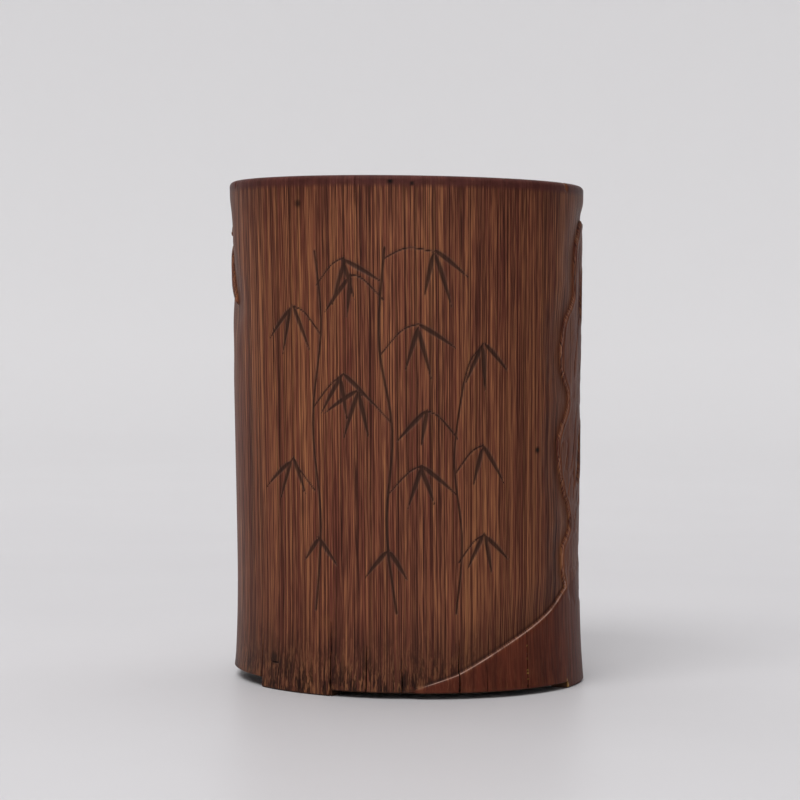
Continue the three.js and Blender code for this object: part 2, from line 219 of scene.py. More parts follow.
def bore_radius(z):
    at_waist, at_rim = WAIST_RADIUS - WALL_AT_WAIST, RIM_RADIUS - WALL_AT_RIM
    return at_waist + (at_rim - at_waist) * z / HEIGHT


def centre_line(z):
    return (LEAN_PIVOT_HEIGHT - z) * math.tan(LEAN)


def value_noise(x, y, seed):
    """Smooth noise from 0 to 1 on a unit lattice."""
    table = np.random.RandomState(seed).rand(64, 64)
    xi, yi = np.floor(x).astype(int), np.floor(y).astype(int)
    fx, fy = x - xi, y - yi
    fx, fy = fx * fx * (3 - 2 * fx), fy * fy * (3 - 2 * fy)
    a, b = table[xi % 64, yi % 64], table[(xi + 1) % 64, yi % 64]
    c, d = table[xi % 64, (yi + 1) % 64], table[(xi + 1) % 64, (yi + 1) % 64]
    return (a * (1 - fx) + b * fx) * (1 - fy) + (c * (1 - fx) + d * fx) * fy


def smooth_line(points, samples):
    """A smooth line through the points, with even steps between each two."""
    p = np.array(points, float)
    p = np.vstack([p[0], p, p[-1]])
    out = []
    for t in np.linspace(0, len(points) - 1, samples + 1):
        i = min(int(t), len(points) - 2)
        w = t - i
        a, b, c, d = p[i], p[i + 1], p[i + 2], p[i + 3]
        v0, v1 = (c - a) / 2, (d - b) / 2
        out.append((2 * b - 2 * c + v0 + v1) * w**3 + (-3 * b + 3 * c - 2 * v0 - v1) * w**2 + v0 * w + b)
    return np.array(out)


# The outlines of the motifs, each closed, from two edges.
def outline(first, second):
    return np.vstack([first, second[::-1]])


def bank():
    top = smooth_line(BANK_LINE, 90)
    bottom = top.copy()
    bottom[:, 1] = -4
    return outline(bottom, top)


def rock():
    return outline(smooth_line(ROCK_LEFT, 60), smooth_line(ROCK_RIGHT, 60))


def rock_hole(angle, z, half_width, half_height, tilt):
    turn = np.linspace(0, 2 * math.pi, 28, endpoint=False)
    up = half_height * np.sin(turn)
    return np.stack([angle + half_width * np.cos(turn) + tilt * up, z + up], 1)


def stem_middle(foot, top, bow, t):
    return foot[0] + (top[0] - foot[0]) * t + bow * np.sin(math.pi * t), foot[1] + (top[1] - foot[1]) * t


def stem(foot, top, width, bow):
    half = width / 2 * DEGREES_PER_MM
    middle, z = stem_middle(foot, top, bow, np.linspace(0, 1, 25))
    return outline(np.stack([middle - half, z], 1), np.stack([middle + half, z], 1))


def leaf_line(angle, z, below, length, width, t, side):
    direction = math.radians(below)
    half = 0.15 + width / 2 * np.sin(math.pi * t**0.7).clip(0) ** 0.85 * (1 - 0.25 * t)
    right = t * length * math.cos(direction) + side * half * math.sin(direction)
    up = -t * length * math.sin(direction) + side * half * math.cos(direction) - 0.06 * length * t * t
    return np.stack([angle + right * DEGREES_PER_MM, z + up], 1)


def leaf(*values):
    t = np.linspace(0, 1, 15)
    return outline(leaf_line(*values, t, -1), leaf_line(*values, t, 1))


def twig(points):
    middle = smooth_line(points, 12)
    return outline(middle - [0, TWIG_WIDTH / 2], middle + [0, TWIG_WIDTH / 2])


# The fine grid of the outer surface: columns of angles and rows of heights.
def column_angles():
    angles = set()
    for low, high, spacing in COLUMN_ZONES:
        count = int(round((high - low) / (spacing * DEGREES_PER_MM)))
        angles.update(np.round(np.linspace(low, high, count, endpoint=False), 3))
    extra = []
    for split in SPLITS + [RIM_SPLIT]:
        extra += [signed_angle(split[0]) + offset * DEGREES_PER_MM for offset in SPLIT_COLUMNS]
    for centre in FOOT_CENTRES:
        for side in (-1, 1):
            end = signed_angle(centre + side * FOOT_SPAN / 2)
            extra += [end - FOOT_COLUMN, end + FOOT_COLUMN]
    extra = np.array(sorted(extra))
    kept = [a for a in angles if np.abs(extra - a).min() > COLUMN_ROOM]
    return np.array(sorted(kept + list(extra)))


def row_heights():
    rows = []
    for low, high, spacing in ROW_ZONES:
        rows += list(np.linspace(low, high, int(round((high - low) / spacing)), endpoint=False))
    return np.array(rows + [HEIGHT - OUTER_LIP_ROUND])


ANGLES = column_angles()
ROWS = row_heights()
ACROSS = ANGLES / DEGREES_PER_MM
GRID = (len(ANGLES), len(ROWS))
# The same places as a column and a row, for fields over the whole grid: millimetres across, and height.
U, Z = ACROSS[:, None], ROWS[None, :]
# A motif past 180 degrees also counts a full turn back, where the grid's other end is.
TURNS = (0, -360)


def window(u_low, u_high, z_low, z_high):
    """The part of the grid in a rectangle, as two slices."""
    i = np.searchsorted(ACROSS, [u_low, u_high])
    j = np.searchsorted(ROWS, [z_low, z_high])
    return slice(i[0], i[1]), slice(j[0], j[1])


def signed_distance(shape, margin):
    """For each point of the grid, its distance to a closed outline in mm, below 0 inside it."""
    field = np.full(GRID, 1e3)
    for turn in TURNS:
        points = (shape + [turn, 0]) / [DEGREES_PER_MM, 1]
        low, high = points.min(0) - margin, points.max(0) + margin
        si, sj = window(low[0], high[0], low[1], high[1])
        u, z = ACROSS[si, None], ROWS[None, sj]
        if u.size == 0 or z.size == 0:
            continue
        nearest = np.full((u.shape[0], z.shape[1]), 1e6)
        inside = np.zeros(nearest.shape, bool)
        for p, q in zip(points, np.roll(points, -1, axis=0)):
            d = q - p
            length2 = float(d @ d) + 1e-12
            t = np.clip(((u - p[0]) * d[0] + (z - p[1]) * d[1]) / length2, 0, 1)
            nearest = np.minimum(nearest, (u - p[0] - t * d[0]) ** 2 + (z - p[1] - t * d[1]) ** 2)
            if p[1] != q[1]:
                crosses = (p[1] > z) != (q[1] > z)
                inside ^= crosses & (u < p[0] + (z - p[1]) * d[0] / d[1])
        here = np.sqrt(nearest) * np.where(inside, -1, 1)
        field[si, sj] = np.minimum(field[si, sj], here)
    return field


def stroke(field, points, half_widths, turn=0):
    """Marks a tapered stroke on a field: 1 on its middle line, 0 at its edge."""
    points = (np.array(points, float) + [turn, 0]) / [DEGREES_PER_MM, 1]
    for p, q, a, b in zip(points, points[1:], half_widths, half_widths[1:]):
        reach = max(a, b)
        low, high = np.minimum(p, q) - reach, np.maximum(p, q) + reach
        si, sj = window(low[0], high[0], low[1], high[1])
        u, z = ACROSS[si, None], ROWS[None, sj]
        if u.size == 0 or z.size == 0:
            continue
        d = q - p
        t = np.clip(((u - p[0]) * d[0] + (z - p[1]) * d[1]) / (float(d @ d) + 1e-12), 0, 1)
        away = np.hypot(u - p[0] - t * d[0], z - p[1] - t * d[1])
        field[si, sj] = np.maximum(field[si, sj], (1 - away / np.maximum(a + (b - a) * t, 0.05)).clip(0))


def spots(places):
    """A field with a soft round mark at each place."""
    field = np.zeros(GRID)
    for angle, z, radius, strength in places:
        across = angle / DEGREES_PER_MM
        si, sj = window(across - radius * 2, across + radius * 2, z - radius * 2, z + radius * 2)
        away = np.hypot(ACROSS[si, None] - across, ROWS[None, sj] - z)
        mark = strength * (1 - smoothstep(away, radius * 0.4, radius * 1.6))
        field[si, sj] = np.maximum(field[si, sj], mark)
    return field


def leaf_cut(field, angle, z, lean, length):
    """One incised leaf, drawn from its stalk down to its tip."""
    t = np.linspace(0, 1, 8)
    direction = math.radians(lean)
    right = length * t * math.sin(direction) * DEGREES_PER_MM
    drop = length * t * math.cos(direction) + 0.10 * length * t * t
    half_widths = 0.12 + 0.95 * np.sin(math.pi * t**0.62).clip(0) ** 0.9
    stroke(field, np.stack([angle + right, z - drop], 1), half_widths)


def incised_cuts():
    """The front's sprays and the nick: 1 along the middle of a cut, 0 at its edge."""
    rng = np.random.RandomState(11)
    field = np.zeros(GRID)
    for half_width, points in FRONT_STEMS + [(FRONT_TWIG_HALF_WIDTH, points) for points in FRONT_TWIGS]:
        middle = smooth_line(points, 22)
        stroke(field, middle, np.full(len(middle), half_width))
    for (angle, z), leans, size in FRONT_CLUSTERS:
        for lean in leans:
            leaf_cut(
                field, angle + rng.uniform(-0.6, 0.6), z + rng.uniform(-0.8, 0.8),
                lean + rng.uniform(-6, 6), size * rng.uniform(0.85, 1.15),
            )
    stroke(field, *NICK)
    return field


def rock_distance():
    """The distance to the rock's roughened outline, with its holes outside it."""
    field = signed_distance(rock(), GROUND_FADE + 1)
    field = field + ROCK_ROUGHNESS * (value_noise(U / 2.3, Z / 3.1, 41) - 0.5) * (np.abs(field) < 10)
    for hole in ROCK_HOLES:
        field = np.maximum(field, -signed_distance(rock_hole(*hole), 8))
    return field


def plant_distance():
    """The distance to the nearest plant, and the ribs: the stems' joints and the leaves' middle veins."""
    plants = np.full(GRID, 1e3)
    ribs = np.zeros(GRID)
    outlines = [stem(*one) for one in STEMS] + [leaf(*one) for one in LEAVES] + [twig(one) for one in TWIGS]
    for shape in outlines:
        plants = np.minimum(plants, signed_distance(shape, GROUND_FADE + 1))
    vein = np.linspace(0.03, 0.93, 8)
    for turn in TURNS:
        for foot, top, width, bow in STEMS:
            reach = (width / 2 + 0.3) * DEGREES_PER_MM
            for joint in STEM_JOINTS:
                middle, z = stem_middle(foot, top, bow, joint)
                stroke(ribs, [(middle - reach, z), (middle + reach, z)], [0.7, 0.7], turn)
        for one in LEAVES:
            stroke(ribs, (leaf_line(*one, vein, 1) + leaf_line(*one, vein, -1)) / 2, np.full(8, 0.5), turn)
    return plants, ribs * (plants < 0)


def split_depth():
    """How deep the splits are at each point of the grid."""
    field = np.zeros(GRID)
    wander = SPLIT_WANDER * (value_noise(Z / 3.5, Z * 0 + 0.5, 21) - 0.5)
    for degrees, bottom, top, half, depth in SPLITS:
        taper = np.sqrt(np.clip((top - Z) / (top - bottom), 0, 1))
        away = np.abs(U - signed_angle(degrees) / DEGREES_PER_MM - wander)
        away = away / np.maximum(half * taper + 0.05, 0.05)
        field = np.maximum(field, depth * taper * (1 - away).clip(0) * (Z < top))
    degrees, start, half, depth = RIM_SPLIT
    away = np.abs(U - degrees / DEGREES_PER_MM) / half
    return np.maximum(field, depth * smoothstep(Z, start, start + 4) * (1 - away).clip(0))


def carve():
    """The depth cut at each point of the outer grid, and the masks that its finish uses."""
    bank_field = signed_distance(bank(), GROUND_FADE + 1)
    rock_field = rock_distance()
    plants, ribs = plant_distance()
    motif = np.minimum(np.minimum(bank_field, rock_field), plants)
    below_rim = 1 - smoothstep(Z, GROUND_TOP - GROUND_TOP_FADE, GROUND_TOP)
    fade = (1 - smoothstep(motif, 0, GROUND_FADE)) ** GROUND_FADE_POWER
    ground = GROUND_DEPTH * fade * below_rim * smoothstep(motif, -0.1, 0.4)
    eased = EDGE_EASE * (1 - smoothstep(-motif, 0, EDGE_EASE_WIDTH)) * (motif < 0) * below_rim

    hollows = value_noise(U / 7 + 0.7 * Z / 9, Z / 15, 3)
    creases = 1 - np.abs(2 * value_noise(U / 5.5 - Z / 13, Z / 10, 5) - 1)
    facets = np.round(4 * value_noise(U / 4.5 - Z / 16, Z / 8, 13)) / 4
    in_rock = smoothstep(-rock_field, 0.3, 2.5)
    rock_depth = in_rock * (ROCK_HOLLOW * hollows**1.5 + ROCK_CREASE * creases**6 + ROCK_FACET * facets)
    bank_depth = smoothstep(-bank_field, 0.3, 4) * BANK_HOLLOW * value_noise(U / 16, Z / 7, 9)

    cuts = incised_cuts()
    splits = split_depth()
    wave = WAVE_DEPTH * value_noise(U / 21 + 9, Z / 38, 31)
    depth = ground + eased + rock_depth + bank_depth + RIB_DEPTH * ribs + CUT_DEPTH * cuts + splits
    depth = depth + CHIP_DEPTH * spots(CHIPS) + wave

    in_motif = smoothstep(-np.minimum(rock_field, plants), -0.2, 0.6)
    along_bank = smoothstep(U * DEGREES_PER_MM, 2.2, 9)
    return depth, {
        "redder": np.maximum(smoothstep(-bank_field, -0.2, 0.6), 0.45 * in_motif),
        "shade": 0.75 * fade * below_rim * (motif > 0),
        "distance": np.clip(motif, -4, 4),
        # How strong the edges' painted highlight and painted shadow are: full along the bank past its start, a
        # quarter elsewhere.
        "edge_highlight_and_shadow": below_rim * (np.abs(motif) < 4) * np.where(bank_field < 2.2, along_bank, 0.25),
        "stain": spots(STAINS), "worn": spots(WORN_PLACES), "raw": spots(RAW_SPECKS),
        # The split mask also takes the ribs: it sets where painted shade darkens the splits and the ribs'
        # grooves.
        "cut": cuts, "split": np.minimum(splits / 0.5, 1) + 0.6 * ribs,
    }


# The carved wall.
def arch_height(angles):
    """The height of the wall's lower edge at each angle: 0 on a foot."""
    height = np.zeros(len(angles))
    for i, centre in enumerate(FOOT_CENTRES):
        following = FOOT_CENTRES[(i + 1) % 3] + (360 if i == 2 else 0)
        start, end = centre + FOOT_SPAN / 2, following - FOOT_SPAN / 2
        inside = ((angles - start) % 360) < (end - start)
        height[inside] = ARCH_HEIGHTS[i]
    return height


def quarter_round(centre_radius, centre_z, size, start, end, count):
    """A quarter round in each column's profile, as radii and heights."""
    turn = np.radians(np.linspace(start, end, count))
    z = centre_z + size * np.sin(turn)
    return centre_radius + size * np.cos(turn), np.broadcast_to(z, (len(ANGLES), count))


def wall_profile(depth):
    """Each column's closed profile, as radii and heights: up outside, over the lip, down the bore and under."""
    columns = len(ANGLES)
    z_out = np.broadcast_to(ROWS, depth.shape)
    radius_out = outer_radius(z_out) - SKIN_ALLOWANCE - depth
    top_edge = radius_out[:, -1:]

    lip_height = HEIGHT - OUTER_LIP_ROUND
    outer_centre = top_edge - OUTER_LIP_ROUND
    outer_lip = quarter_round(outer_centre, lip_height, OUTER_LIP_ROUND, LIP_START, 90, OUTER_LIP_ROWS)
    inner_centre = bore_radius(HEIGHT) + INNER_LIP_ROUND + 0 * top_edge
    lip_height = HEIGHT - INNER_LIP_ROUND
    inner_lip = quarter_round(inner_centre, lip_height, INNER_LIP_ROUND, 90, 180, INNER_LIP_ROWS)
    land_from, land_to = outer_lip[0][:, -1:], inner_lip[0][:, :1]
    share = np.linspace(0, 1, LAND_ROWS + 2)[1:-1]
    land = (land_from + (land_to - land_from) * share, np.full((columns, LAND_ROWS), HEIGHT))

    down = np.linspace(HEIGHT - INNER_LIP_ROUND - BORE_START, SHOULDER, BORE_ROWS)
    ripple = BORE_RIPPLE * value_noise(U / 5 + 40, down[None, :] / 45, 17)
    ripple = ripple * smoothstep(down, SHOULDER, SHOULDER + 6)
    bore = (bore_radius(down)[None, :] + ripple, np.broadcast_to(down, (columns, BORE_ROWS)))

    rebate = np.full((columns, REBATE_ROWS), bore_radius(SHOULDER) + REBATE_DEPTH)
    rebate_edge = rebate[:, :1]
    foot_edge = radius_out[:, :1] - BOTTOM_CHAMFER
    sole_middle = (rebate_edge + foot_edge) / 2
    under = np.concatenate([rebate, rebate_edge + REBATE_EASE, sole_middle, foot_edge], axis=1)
    under_z = np.broadcast_to(UNDER_HEIGHTS, under.shape)

    radius = np.concatenate([radius_out, outer_lip[0], land[0], inner_lip[0], bore[0], under], axis=1)
    z = np.concatenate([z_out, outer_lip[1], land[1], inner_lip[1], bore[1], under_z], axis=1)
    lifted = arch_height(ANGLES)[:, None]
    return radius, np.where(z < ARCH_ZONE, lifted + z / ARCH_ZONE * (ARCH_ZONE - lifted), z)


def masks_on_profile(masks, rows):
    """The masks on every row of the profile. Some reach over the outer lip or on to the sole's edge."""
    columns, outside_rows = GRID
    full = {"inner": np.zeros((columns, rows))}
    full["inner"][:, outside_rows + OUTER_LIP_ROWS + 2 * LAND_ROWS:] = 1
    for name, mask in masks.items():
        full[name] = np.zeros((columns, rows))
        full[name][:, :outside_rows] = mask
        if name in ("split", "worn"):
            full[name][:, outside_rows:outside_rows + OUTER_LIP_ROWS] = mask[:, -1:]
        if name in ("redder", "split"):
            full[name][:, -1] = mask[:, 0]
    return full


def unrolled(radius, z):
    """Each column's and row's place on the unrolled wall, from 0 to 1, with the first again at the end."""
    along = np.concatenate([[0], np.cumsum(np.hypot(np.diff(radius, axis=1), np.diff(z, axis=1)).mean(0))])
    closing = float(np.hypot(radius[:, 0] - radius[:, -1], z[:, 0] - z[:, -1]).mean())
    v_of_row = np.concatenate([along, [along[-1] + closing]]) / (along[-1] + closing)
    u_of_column = np.concatenate([ANGLES, [ANGLES[0] + 360]])
    return (u_of_column - u_of_column[0]) / 360, v_of_row


def wall_mesh():
    """The carved wall as one closed grid of four-sided faces."""
    depth, masks = carve()
    radius, z = wall_profile(depth)
    columns, rows = radius.shape
    turn = np.radians(ANGLES)[:, None]
    places = np.stack([centre_line(z) + radius * np.sin(turn), -radius * np.cos(turn), z], 2) * MM

    u_of_column, v_of_row = unrolled(radius, z)
    i, j = np.meshgrid(np.arange(columns), np.arange(rows), indexing="ij")
    i, j = i.ravel(), j.ravel()
    corners = np.stack([i, i + 1, i + 1, i], 1), np.stack([j, j, j + 1, j + 1], 1)
    faces = (corners[0] % columns) * rows + corners[1] % rows
    uv = np.stack([u_of_column[corners[0]], v_of_row[corners[1]]], 2)

    mesh = bpy.data.meshes.new("culm_wall_carved")
    mesh.vertices.add(columns * rows)
    mesh.vertices.foreach_set("co", places.astype(np.float32).ravel())
    mesh.loops.add(faces.size)
    mesh.loops.foreach_set("vertex_index", faces.astype(np.int32).ravel())
    mesh.polygons.add(len(faces))
    mesh.polygons.foreach_set("loop_start", np.arange(0, faces.size, 4, dtype=np.int32))
    mesh.update(calc_edges=True)
    layer = mesh.uv_layers.new(name="OFBake")
    uv = UV_MARGIN + (1 - 2 * UV_MARGIN) * uv
    layer.uv.foreach_set("vector", uv.astype(np.float32).ravel())
    for name, values in masks_on_profile(masks, rows).items():
        attribute = mesh.attributes.new(name, "FLOAT", "POINT")
        attribute.data.foreach_set("value", values.astype(np.float32).ravel())
    # Each point's place on a straight cylinder, so that the fibres run unbroken up the leaning, flared culm.
    straight = np.stack([WAIST_RADIUS * np.sin(turn) + 0 * z, -WAIST_RADIUS * np.cos(turn) + 0 * z, z], 2) * MM
    attribute = mesh.attributes.new("straight", "FLOAT_VECTOR", "POINT")
    attribute.data.foreach_set("vector", straight.astype(np.float32).ravel())
    mesh.validate()
    mesh.shade_smooth()
    mesh.set_sharp_from_angle(angle=math.radians(SHARP_ANGLE))
    return mesh


# Materials. Colours are linear, and heights are in metres.
WOOD = [
    (0.0, (0.048, 0.0165, 0.0120)), (0.40, (0.142, 0.0480, 0.0280)),
    (0.7, (0.212, 0.077, 0.0390)), (1.0, (0.330, 0.132, 0.058)),
]
RED_LINE = (0.150, 0.038, 0.026)
PORE = (0.018, 0.0075, 0.0055)
FOOT_PATCH = (0.022, 0.0095, 0.0075)
FOOT_SHADE = (0.052, 0.020, 0.014)
FOOT_DASH = (0.250, 0.105, 0.048)
FOOT_FLECK = (0.013, 0.0065, 0.0055)
RIM_STREAK = (0.045, 0.0145, 0.010)
RIM_SKIN = [(0.35, (0.056, 0.0175, 0.0150)), (0.7, (0.094, 0.030, 0.026))]
RELIEF_WOOD = [(0.0, (0.052, 0.0120, 0.0075)), (1.0, (0.128, 0.030, 0.0160))]
GROUND_SHADE = (0.026, 0.0085, 0.006)
# The painted shadow beside the motifs' edges, and the painted highlight along them.
EDGE_SHADE = (0.022, 0.009, 0.007)
EDGE_HIGHLIGHT = (0.44, 0.27, 0.215)
WORN_WOOD = (0.19, 0.075, 0.030)
# The cuts' paler rims are dust and wear with a painted highlight; their dark beds are painted shade.
CUT_RIM_DUST_AND_HIGHLIGHT = (0.15, 0.085, 0.060)
CUT_BED_SHADE = (0.026, 0.013, 0.010)
# Painted shade in the splits and, more faintly, in the ribs' grooves.
SPLIT_SHADE = (0.006, 0.004, 0.003)
STAIN = (0.010, 0.007, 0.006)
RAW_WOOD = (0.50, 0.30, 0.085)
BORE_WOOD = [(0.0, (0.030, 0.014, 0.009)), (0.5, (0.075, 0.036, 0.021)), (1.0, (0.125, 0.066, 0.038))]
HARDWOOD = [(0.0, (0.012, 0.006, 0.004)), (0.5, (0.036, 0.016, 0.010)), (1.0, (0.075, 0.035, 0.020))]
DUST = (0.11, 0.085, 0.065)
LACQUER = [(0.3, (0.008, 0.005, 0.004)), (0.7, (0.026, 0.013, 0.009))]
FLOOR_NEAR = [(0.3, (0.610, 0.600, 0.614)), (0.7, (0.628, 0.618, 0.632))]
FLOOR_FAR_PAINTED_LIGHT = (0.86, 0.853, 0.862)
# The floor's colour changes from near to far between these distances, in metres: painted light, paler far off.
FLOOR_PAINTED_LIGHT_FADE = (0.35, 1.7)
PANEL_BLACK = [(0.3, (0.012, 0.012, 0.012)), (0.7, (0.02, 0.02, 0.02))]


class Tree:
    """A material's nodes, made one after another."""

    def __init__(self, name):
        self.material = bpy.data.materials.new(name)
        self.material.use_nodes = True
        self.nodes = self.material.node_tree.nodes
        self.links = self.material.node_tree.links
        self.shader = self.nodes["Principled BSDF"]
        self.place = self.nodes.new("ShaderNodeTexCoord").outputs["Object"]

    def put(self, socket, value):
        if isinstance(value, bpy.types.NodeSocket):
            self.links.new(value, socket)
        else:
            socket.default_value = value

    def attribute(self, name):
        node = self.nodes.new("ShaderNodeAttribute")
        node.attribute_name = name
        return node.outputs

    def mask(self, name):
        return self.attribute(name)["Fac"]

    def noise(self, scale, detail=2.0, roughness=0.5, distortion=0.0):
        """Noise with so many lattice cells to the metre along each axis."""
        mapping = self.nodes.new("ShaderNodeMapping")
        self.links.new(self.place, mapping.inputs["Vector"])
        mapping.inputs["Scale"].default_value = scale
        noise = self.nodes.new("ShaderNodeTexNoise")
        self.links.new(mapping.outputs["Vector"], noise.inputs["Vector"])
        noise.inputs["Scale"].default_value = 1.0
        noise.inputs["Detail"].default_value = detail
        noise.inputs["Roughness"].default_value = roughness
        noise.inputs["Distortion"].default_value = distortion
        return noise.outputs[0]

    def streaks(self, across, along, detail, roughness=0.5):
        """Noise drawn out along the fibres, with so many cells to the metre across them and along them."""
        return self.noise((across, across, along), detail, roughness)

    def math(self, operation, a, b=0.0):
        node = self.nodes.new("ShaderNodeMath")
        node.operation = operation
        self.put(node.inputs[0], a)
        self.put(node.inputs[1], b)
        return node.outputs[0]

    def times(self, first, *others):
        for other in others:
            first = self.math("MULTIPLY", first, other)
        return first

    def blend(self, *weighted):
        """The sum of values, each times its weight."""
        terms = [self.times(value, weight) for value, weight in weighted]
        total = terms[0]
        for term in terms[1:]:
            total = self.math("ADD", total, term)
        return total

    def fit(self, value, low, high, to_low=0.0, to_high=1.0):
        node = self.nodes.new("ShaderNodeMapRange")
        for index, item in enumerate((value, low, high, to_low, to_high)):
            self.put(node.inputs[index], item)
        return node.outputs[0]

    def ramp(self, value, stops):
        node = self.nodes.new("ShaderNodeValToRGB")
        self.links.new(value, node.inputs[0])
        elements = node.color_ramp.elements
        while len(elements) < len(stops):
            elements.new(0.5)
        for element, (position, colour) in zip(elements, stops):
            element.position = position
            element.color = (*colour, 1)
        return node.outputs[0]

    def over(self, colour, top, *factors):
        """One colour laid over another, as strongly as the product of the factors says."""
        node = self.nodes.new("ShaderNodeMix")
        node.data_type = "RGBA"
        self.put(node.inputs[0], self.times(*factors))
        for socket, value in ((node.inputs[6], colour), (node.inputs[7], top)):
            self.put(socket, (*value, 1) if isinstance(value, tuple) else value)
        return node.outputs[2]

    def height(self):
        node = self.nodes.new("ShaderNodeSeparateXYZ")
        self.links.new(self.place, node.inputs[0])
        return node.outputs[2]

    def bump(self, height, strength, distance):
        node = self.nodes.new("ShaderNodeBump")
        node.inputs["Strength"].default_value = strength
        node.inputs["Distance"].default_value = distance
        self.links.new(height, node.inputs["Height"])
        self.links.new(node.outputs[0], self.shader.inputs["Normal"])

    def set(self, **values):
        for name, value in values.items():
            self.put(self.shader.inputs[name.replace("_", " ")], value)


def darken_foot(t, colour, z):
    """Dark mottling on the lowest centimetres, with pale dashes and dark flecks over it."""
    low = t.fit(z, 0.004, 0.017, 1.0, 0.0)
    patches = t.fit(t.streaks(210, 65, 4.0, 0.75), 0.49, 0.55)
    colour = t.over(colour, FOOT_PATCH, t.fit(z, 0.004, 0.023, 1.0, 0.0), patches, 0.78)
    soft = t.fit(t.streaks(120, 45, 3.0, 0.6), 0.3, 0.7, 0.25, 0.85)
    colour = t.over(colour, FOOT_SHADE, t.fit(z, 0.000, 0.030, 1.0, 0.0), soft, 0.75)
    dashes = t.fit(t.streaks(1500, 190, 2.0, 0.6), 0.52, 0.60)
    colour = t.over(colour, FOOT_DASH, low, dashes, 0.70)
    flecks = t.fit(t.streaks(1000, 150, 3.0, 0.65), 0.51, 0.58)
    return t.over(colour, FOOT_FLECK, low, flecks, 0.85)


def finish_rim(t, colour, z):
    """Broken darker streaks below the rim, and the handled skin of the rim itself."""
    broken = t.fit(t.streaks(1100, 75, 2.0, 0.6), 0.42, 0.62)
    colour = t.over(colour, RIM_STREAK, t.fit(z, 0.1350, 0.1490), broken, 0.7)
    skin = t.ramp(t.noise((300, 300, 300), 4.0, 0.6), RIM_SKIN)
    return t.over(colour, skin, t.fit(z, 0.1483, 0.1496), 0.86)


def finish_relief(t, colour):
    """Redder motifs, painted ground shade, and the edges: a thin painted highlight with a painted shadow beside
    it.
    """
    relief = t.ramp(t.fit(t.streaks(500, 40, 3.0, 0.6), 0.35, 0.65), RELIEF_WOOD)
    colour = t.over(colour, relief, t.mask("redder"), 0.80)
    colour = t.over(colour, GROUND_SHADE, t.mask("shade"), 0.35)
    edge_highlight_and_shadow = t.mask("edge_highlight_and_shadow")
    distance = t.mask("distance")
    # A painted shadow a little way out from each edge.
    beside = t.times(t.fit(distance, 0.22, 0.5), t.fit(distance, 0.6, 1.5, 1.0, 0.0))
    colour = t.over(colour, EDGE_SHADE, beside, edge_highlight_and_shadow, 0.70)
    # A thin, uneven painted highlight along each edge.
    away = t.math("ABSOLUTE", t.math("SUBTRACT", distance, 0.03))
    uneven = t.fit(t.noise((260, 260, 260), 2.0, 0.6), 0.32, 0.55, 0.35, 1.0)
    return t.over(colour, EDGE_HIGHLIGHT, t.fit(away, 0.03, 0.17, 1.0, 0.0), uneven, edge_highlight_and_shadow, 0.85)


def finish_marks(t, colour):
    """Wear, the incised cuts with painted shade and highlights, painted shade in the splits and ribs, stains
    and raw specks.
    """
    colour = t.over(colour, WORN_WOOD, t.mask("worn"), 0.6)
    cut = t.mask("cut")
    # Each cut: a paler rim of dust, wear and painted highlight, then a dark bed of painted shade.
    colour = t.over(colour, CUT_RIM_DUST_AND_HIGHLIGHT, t.fit(cut, 0.02, 0.2, 0.0, 0.22))
    colour = t.over(colour, CUT_BED_SHADE, t.fit(cut, 0.18, 0.6, 0.0, 0.80))
    # Painted shade in the splits and the ribs' grooves.
    colour = t.over(colour, SPLIT_SHADE, t.mask("split"), 0.92)
    colour = t.over(colour, STAIN, t.mask("stain"))
    return t.over(colour, RAW_WOOD, t.mask("raw"))


def bamboo_material():
    t = Tree("bamboo_patina")
    t.place = t.attribute("straight")["Vector"]
    z = t.height()
    fibres = t.streaks(3150, 13, 1.0)
    fine = t.streaks(4300, 95, 1.0)
    bands = t.streaks(230, 3, 1.0)
    broad = t.streaks(38, 12, 2.0)
    grain = t.fit(t.blend((fibres, 0.46), (fine, 0.36), (bands, 0.09), (broad, 0.09)), 0.41, 0.59)
    colour = t.ramp(grain, WOOD)
    colour = t.over(colour, RED_LINE, t.fit(t.streaks(2300, 10, 1.0), 0.50, 0.60), 0.45)
    colour = t.over(colour, PORE, t.fit(t.streaks(2900, 9, 1.0), 0.54, 0.62), 0.60)
    colour = darken_foot(t, colour, z)
    colour = finish_rim(t, colour, z)
    colour = finish_relief(t, colour)
    colour = finish_marks(t, colour)
    inner = t.mask("inner")
    colour = t.over(colour, t.ramp(grain, BORE_WOOD), inner)

    roughness = t.math("ADD", t.fit(grain, 0.0, 1.0, 0.50, 0.36), t.times(inner, 0.2))
    t.set(Base_Color=colour, Roughness=roughness, Specular_IOR_Level=0.05)
    t.bump(t.blend((fibres, 0.6), (fine, 0.4)), 0.5, 0.00022)
    return t.material


def hardwood_material():
    t = Tree("floor_hardwood")
    rings = t.noise((60, 420, 60), 3.0, 0.55, 0.6)
    pores = t.noise((260, 2300, 300), 2.0, 0.6)
    grain = t.blend((rings, 0.65), (pores, 0.35))
    colour = t.ramp(t.fit(grain, 0.34, 0.64), HARDWOOD)
    colour = t.over(colour, DUST, t.fit(t.noise((55, 55, 55), 4.0, 0.65), 0.5, 0.7, 0.0, 0.35))
    t.set(Base_Color=colour, Roughness=t.fit(grain, 0.3, 0.7, 0.62, 0.45))
    t.bump(grain, 0.4, 0.0003)
    return t.material


def lacquer_material():
    t = Tree("dark_lacquer")
    cloud = t.noise((180, 180, 180), 4.0, 0.6)
    t.set(Base_Color=t.ramp(cloud, LACQUER), Roughness=t.fit(cloud, 0.3, 0.7, 0.22, 0.45))
    t.bump(cloud, 0.35, 0.0004)
    return t.material


